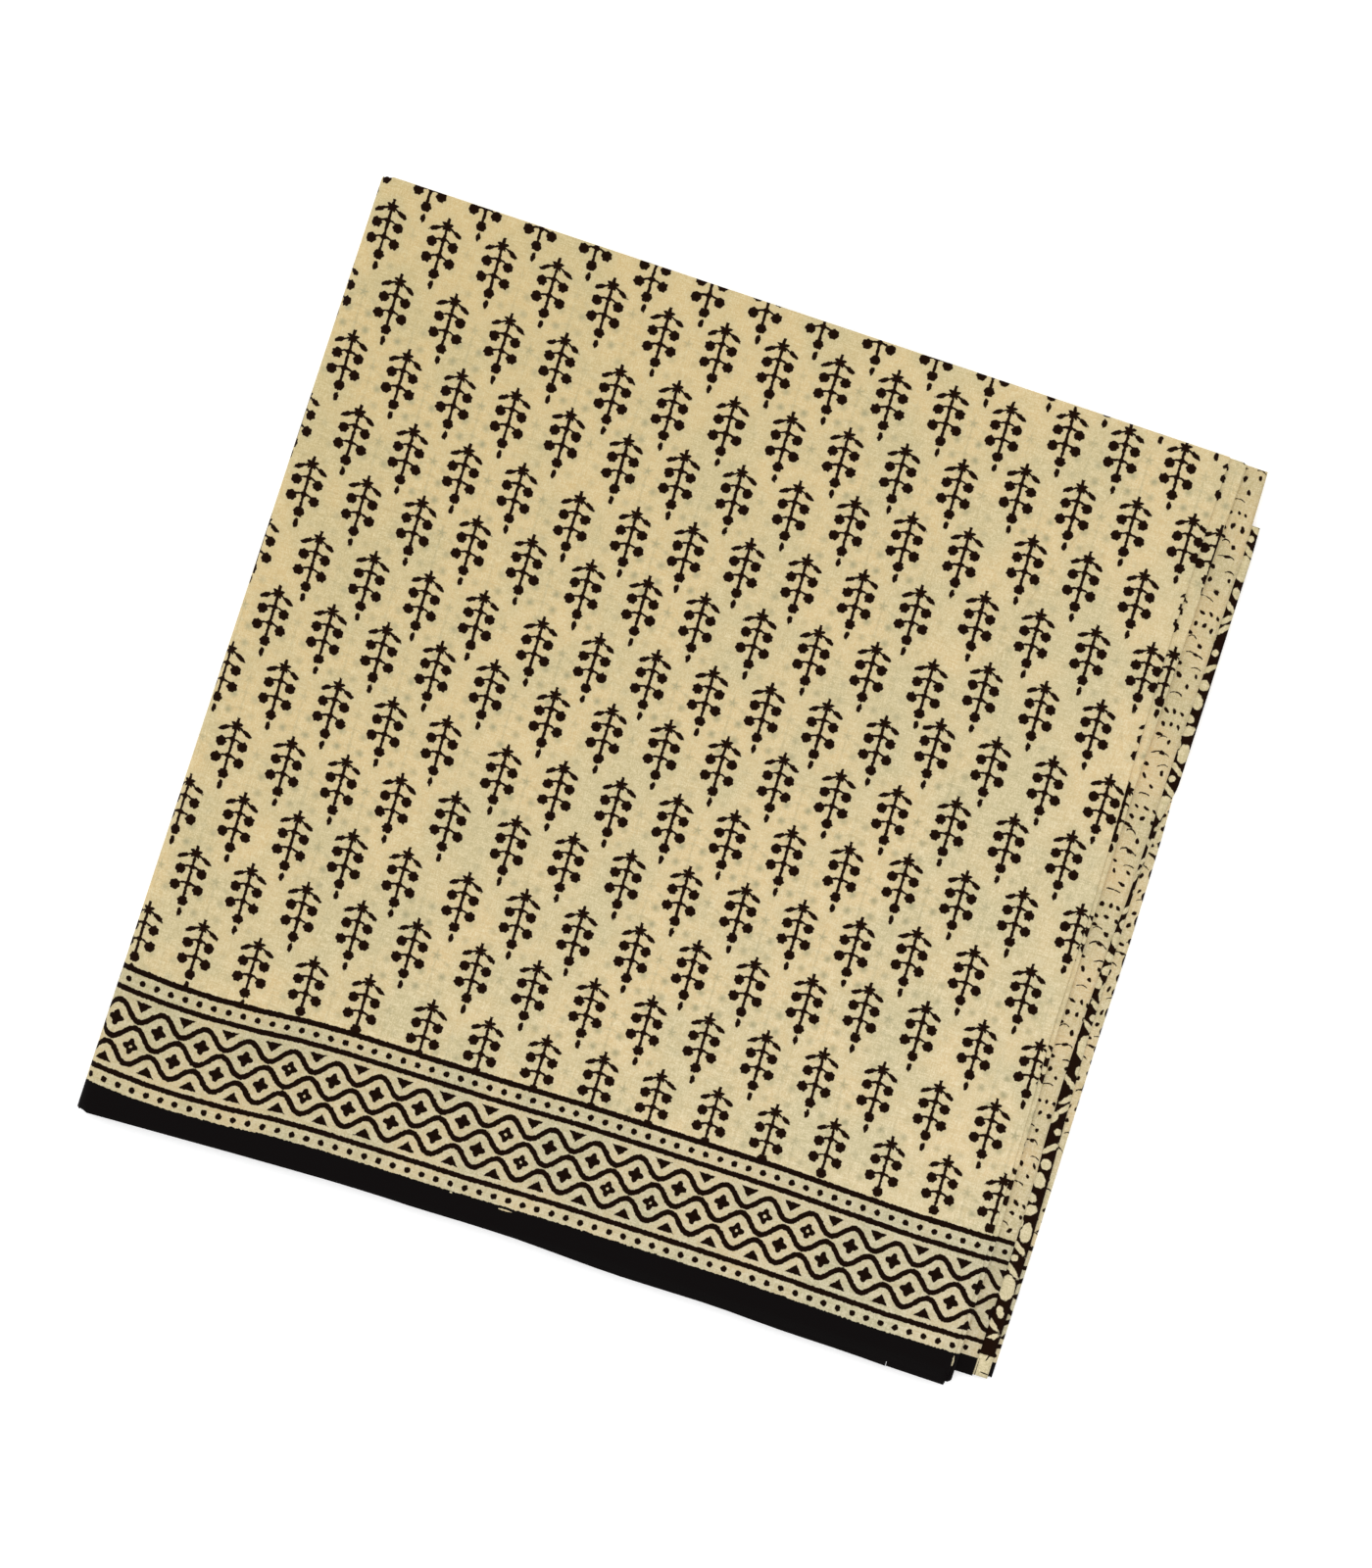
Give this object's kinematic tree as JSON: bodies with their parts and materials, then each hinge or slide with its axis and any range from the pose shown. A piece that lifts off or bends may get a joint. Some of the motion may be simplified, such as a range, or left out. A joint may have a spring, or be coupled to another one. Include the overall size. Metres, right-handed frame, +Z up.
{
  "type": "folded cotton saree",
  "caption": "Cotton saree folded flat for storage: a low rectangular pile of doubled cloth layers, one long round turn on one side, loose fold edges and both free ends on the other.",
  "frame": {"origin": "on the surface that the pile rests on, under the middle of its bounding box", "axes": "+X towards the loose fold edges and the free ends, +Y towards the fold along the cloth's mid-width, +Z up"},
  "size_m": [0.5588, 0.5746, 0.0154],
  "materials": {
    "printed_cotton": "soft matt plain-weave cotton",
    "pallu_cotton": "soft matt plain-weave cotton, printed dark"
  },
  "bodies": {
    "root": {"outer_stretch": "printed_cotton", "second_fold": "printed_cotton", "second_fold_inner": "printed_cotton", "blouse_end": "printed_cotton", "pallu_end": "pallu_cotton", "lower_fold_inner": "printed_cotton", "hidden_layers": "printed_cotton"}
  },
  "joints": []
}
